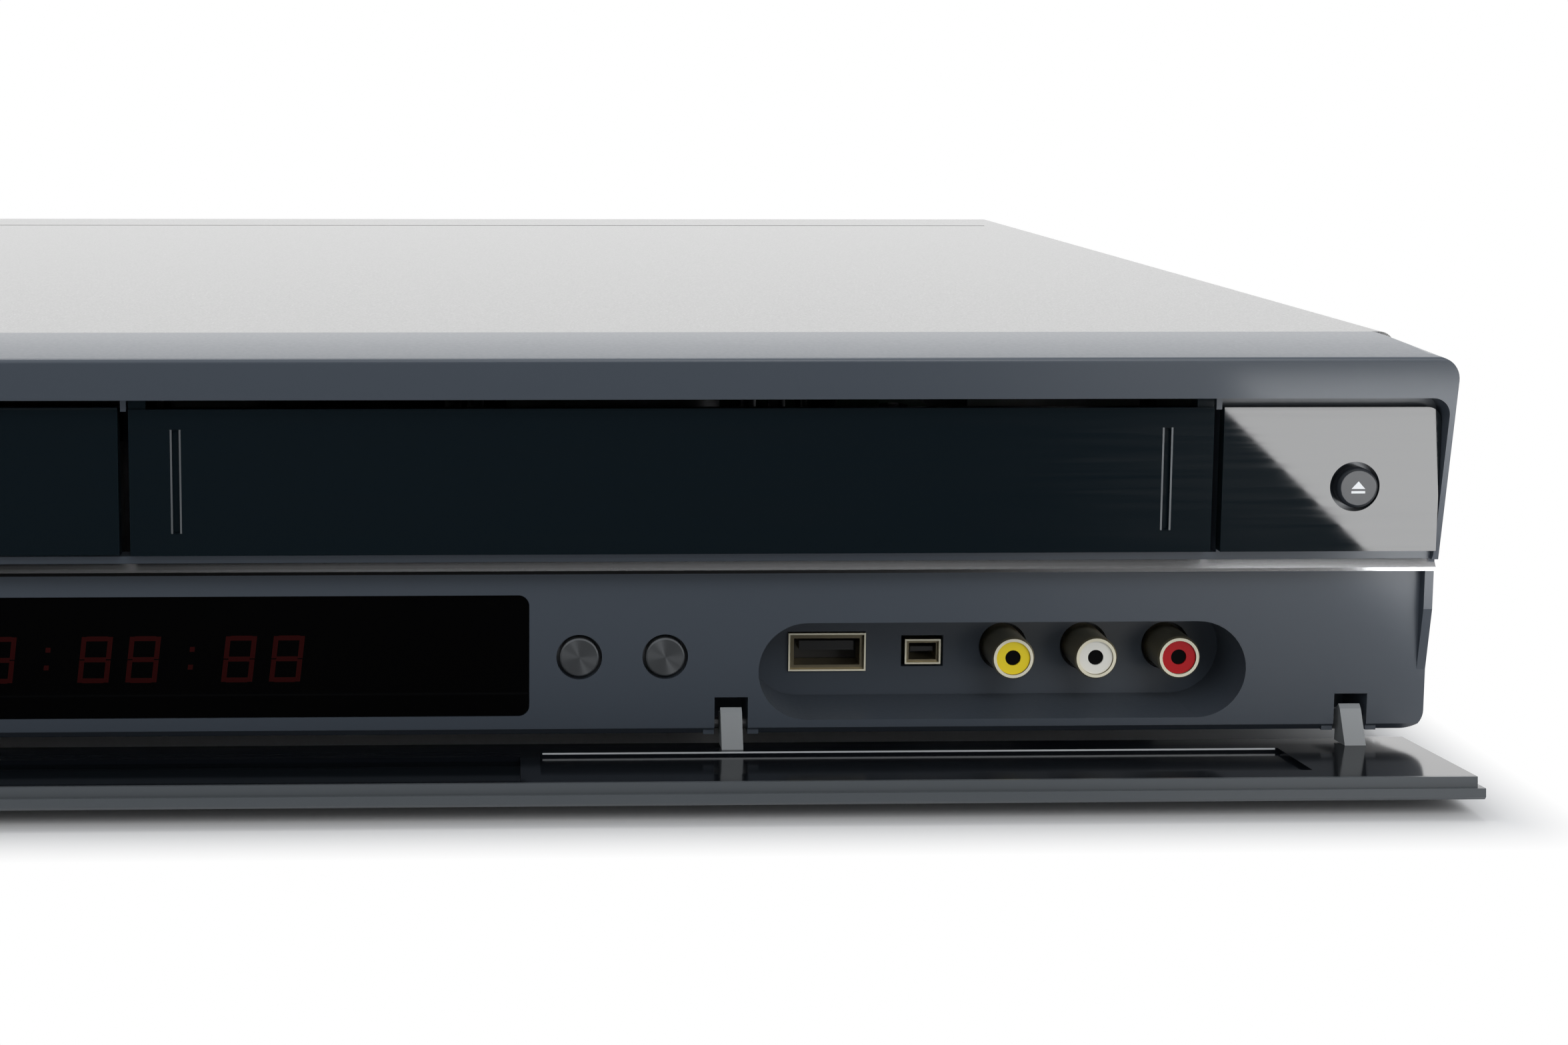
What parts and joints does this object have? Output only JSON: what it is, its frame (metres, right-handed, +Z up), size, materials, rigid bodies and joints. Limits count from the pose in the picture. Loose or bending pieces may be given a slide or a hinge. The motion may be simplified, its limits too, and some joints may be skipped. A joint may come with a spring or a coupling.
{
  "type": "disc and tape combo player",
  "caption": "Low black video player for discs and tapes, with a sliding disc tray, an inward swinging tape door, a let-down front flap over sockets and buttons, and working inner mechanisms.",
  "frame": {"origin": "on the table, under the middle of the whole player with its front flap let down", "axes": "+X along the front, to the right as one looks at the front; +Y from the front to the back; +Z up"},
  "size_m": [0.4332, 0.3722, 0.0786],
  "materials": {
    "cover_steel": "satin, fine texture",
    "front_plastic": "satin moulded",
    "gloss_panel": "high gloss",
    "trim_chrome": "bright",
    "display_glass": "dark, clear",
    "steel_sheet": "zinc plated",
    "foot_rubber": "matte",
    "screw_steel": "black oxide",
    "board": "lacquered",
    "core_steel": "bare laminations",
    "socket_metal": "plated",
    "plated_metal": "nickel plated",
    "insert_yellow": "moulded",
    "insert_white": "moulded",
    "insert_red": "moulded",
    "insert_component": "moulded",
    "black_plastic": "moulded",
    "drive_plastic": "moulded",
    "gear_plastic": "acetal",
    "aluminium": "machined",
    "arm_plastic": "moulded",
    "button_metal": "spun face",
    "window_smoke": "smoked",
    "roller_rubber": "ground"
  },
  "bodies": {
    "casing": {"front_bezel": "front_plastic", "chrome_trim": "trim_chrome", "eject_panel": "gloss_panel", "power_panel": "gloss_panel", "display_window": "display_glass", "display_tube": "display_glass", "top_cover": "cover_steel", "chassis_pan": "steel_sheet", "rear_panel": "steel_sheet", "feet": "foot_rubber", "cover_screws": "screw_steel", "hinge_pins": "steel_sheet", "front_boards": "board", "main_board": "board", "power_board": "board", "rear_board": "board", "power_transformer": "core_steel", "usb_socket": "socket_metal", "dv_socket": "socket_metal", "front_socket_cores": "black_plastic", "jack_shells": "socket_metal", "jack_inserts_yellow": "insert_yellow", "jack_inserts_white": "insert_white", "jack_inserts_red": "insert_red", "jack_inserts_component": "insert_component", "rear_jack_block": "black_plastic", "aerial_sockets": "plated_metal", "hdmi_socket": "plated_metal", "mains_inlet": "black_plastic", "fan_frame": "black_plastic", "drive_housing": "steel_sheet", "drive_base": "drive_plastic", "traverse_plate": "steel_sheet", "deck_chassis": "steel_sheet"},
    "flap": {"front_flap": "front_plastic", "flap_window": "window_smoke", "flap_arms": "arm_plastic"},
    "tape_door": {"tape_door": "gloss_panel"},
    "tray": {"disc_tray": "drive_plastic", "tray_front": "gloss_panel"},
    "tray_pinion": {"tray_pinion": "gear_plastic"},
    "turntable": {"turntable": "drive_plastic"},
    "disc_clamp": {"disc_clamp": "gear_plastic"},
    "laser_sled": {"laser_sled": "drive_plastic"},
    "fan_rotor": {"fan_rotor": "black_plastic"},
    "head_drum": {"head_drum": "aluminium"},
    "capstan": {"capstan_flywheel": "plated_metal"},
    "supply_reel": {"supply_reel": "gear_plastic"},
    "takeup_reel": {"takeup_reel": "gear_plastic"},
    "pinch_arm": {"pinch_roller_arm": "roller_rubber"},
    "carriage": {"cassette_carriage": "steel_sheet"},
    "cage": {"cassette_cage": "steel_sheet"},
    "tape_eject_button": {"tape_eject_button": "gloss_panel"},
    "disc_eject_button": {"disc_eject_button": "gloss_panel"},
    "power_button": {"power_button": "gloss_panel"},
    "source_button": {"source_button": "button_metal"},
    "resolution_button": {"resolution_button": "button_metal"},
    "record_button": {"record_button": "button_metal"},
    "stop_button": {"stop_button": "button_metal"},
    "play_button": {"play_button": "button_metal"}
  },
  "joints": [
    {"name": "flap_hinge", "type": "hinge", "parent": "casing", "child": "flap", "pos_m": [0, -0.15647, 0.0081], "axis": [-1, 0, 0], "range_deg": [0, 84.76]},
    {"name": "tape_door_hinge", "type": "hinge", "parent": "casing", "child": "tape_door", "pos_m": [0.07645, -0.16267, 0.069], "axis": [1, 0, 0], "range_deg": [0, 88], "stiffness_Nm_per_rad": 0.004, "springref_deg": -17.19},
    {"name": "tray_slide", "type": "slide", "parent": "casing", "child": "tray", "axis": [0, -1, 0], "range_m": [0, 0.141]},
    {"name": "pinion_spin", "type": "hinge", "parent": "casing", "child": "tray_pinion", "pos_m": [-0.1433, -0.13587, 0.0474], "axis": [0, 0, 1], "continuous": true},
    {"name": "turntable_spin", "type": "hinge", "parent": "casing", "child": "turntable", "pos_m": [-0.0973, -0.08487, 0.045], "axis": [0, 0, 1], "continuous": true},
    {"name": "clamp_spin", "type": "hinge", "parent": "casing", "child": "disc_clamp", "pos_m": [-0.0973, -0.08487, 0.062], "axis": [0, 0, 1], "continuous": true},
    {"name": "sled_slide", "type": "slide", "parent": "casing", "child": "laser_sled", "axis": [0, 1, 0], "range_m": [0, 0.031]},
    {"name": "fan_spin", "type": "hinge", "parent": "casing", "child": "fan_rotor", "pos_m": [-0.15, 0.17113, 0.045], "axis": [0, 1, 0], "continuous": true},
    {"name": "drum_spin", "type": "hinge", "parent": "casing", "child": "head_drum", "pos_m": [0.07645, 0.05913, 0.044], "axis": [0, 0, 1], "continuous": true},
    {"name": "capstan_spin", "type": "hinge", "parent": "casing", "child": "capstan", "pos_m": [0.12845, 0.02913, 0.024], "axis": [0, 0, 1], "continuous": true},
    {"name": "supply_spin", "type": "hinge", "parent": "casing", "child": "supply_reel", "pos_m": [0.0302, -0.01887, 0.027], "axis": [0, 0, 1], "continuous": true},
    {"name": "takeup_spin", "type": "hinge", "parent": "casing", "child": "takeup_reel", "pos_m": [0.1227, -0.01887, 0.027], "axis": [0, 0, 1], "continuous": true},
    {"name": "pinch_swing", "type": "hinge", "parent": "casing", "child": "pinch_arm", "pos_m": [0.15445, 0.03813, 0.027], "axis": [0, 0, 1], "range_deg": [0, 6.5], "stiffness_Nm_per_rad": 0.01},
    {"name": "carriage_slide", "type": "slide", "parent": "casing", "child": "carriage", "axis": [0, 1, 0], "range_m": [0, 0.06]},
    {"name": "cage_drop", "type": "slide", "parent": "carriage", "child": "cage", "axis": [0, 0, -1], "range_m": [0, 0.009], "stiffness_N_per_m": 60, "springref_m": -0.03},
    {"name": "tape_eject_press", "type": "slide", "parent": "casing", "child": "tape_eject_button", "axis": [0, 1, 0], "range_m": [0, 0.001], "stiffness_N_per_m": 150},
    {"name": "disc_eject_press", "type": "slide", "parent": "casing", "child": "disc_eject_button", "axis": [0, 1, 0], "range_m": [0, 0.001], "stiffness_N_per_m": 150},
    {"name": "power_press", "type": "slide", "parent": "casing", "child": "power_button", "axis": [0, 1, 0], "range_m": [0, 0.001], "stiffness_N_per_m": 150},
    {"name": "source_press", "type": "slide", "parent": "casing", "child": "source_button", "axis": [0, 1, 0], "range_m": [0, 0.0008], "stiffness_N_per_m": 150},
    {"name": "resolution_press", "type": "slide", "parent": "casing", "child": "resolution_button", "axis": [0, 1, 0], "range_m": [0, 0.0008], "stiffness_N_per_m": 150},
    {"name": "record_press", "type": "slide", "parent": "casing", "child": "record_button", "axis": [0, 1, 0], "range_m": [0, 0.0008], "stiffness_N_per_m": 150},
    {"name": "stop_press", "type": "slide", "parent": "casing", "child": "stop_button", "axis": [0, 1, 0], "range_m": [0, 0.0008], "stiffness_N_per_m": 150},
    {"name": "play_press", "type": "slide", "parent": "casing", "child": "play_button", "axis": [0, 1, 0], "range_m": [0, 0.0008], "stiffness_N_per_m": 150}
  ],
  "couplings": [
    {"joint": "pinion_spin", "follows": "tray_slide", "rad_per_m": -111.11},
    {"joint": "clamp_spin", "follows": "turntable_spin", "ratio": 1}
  ]
}
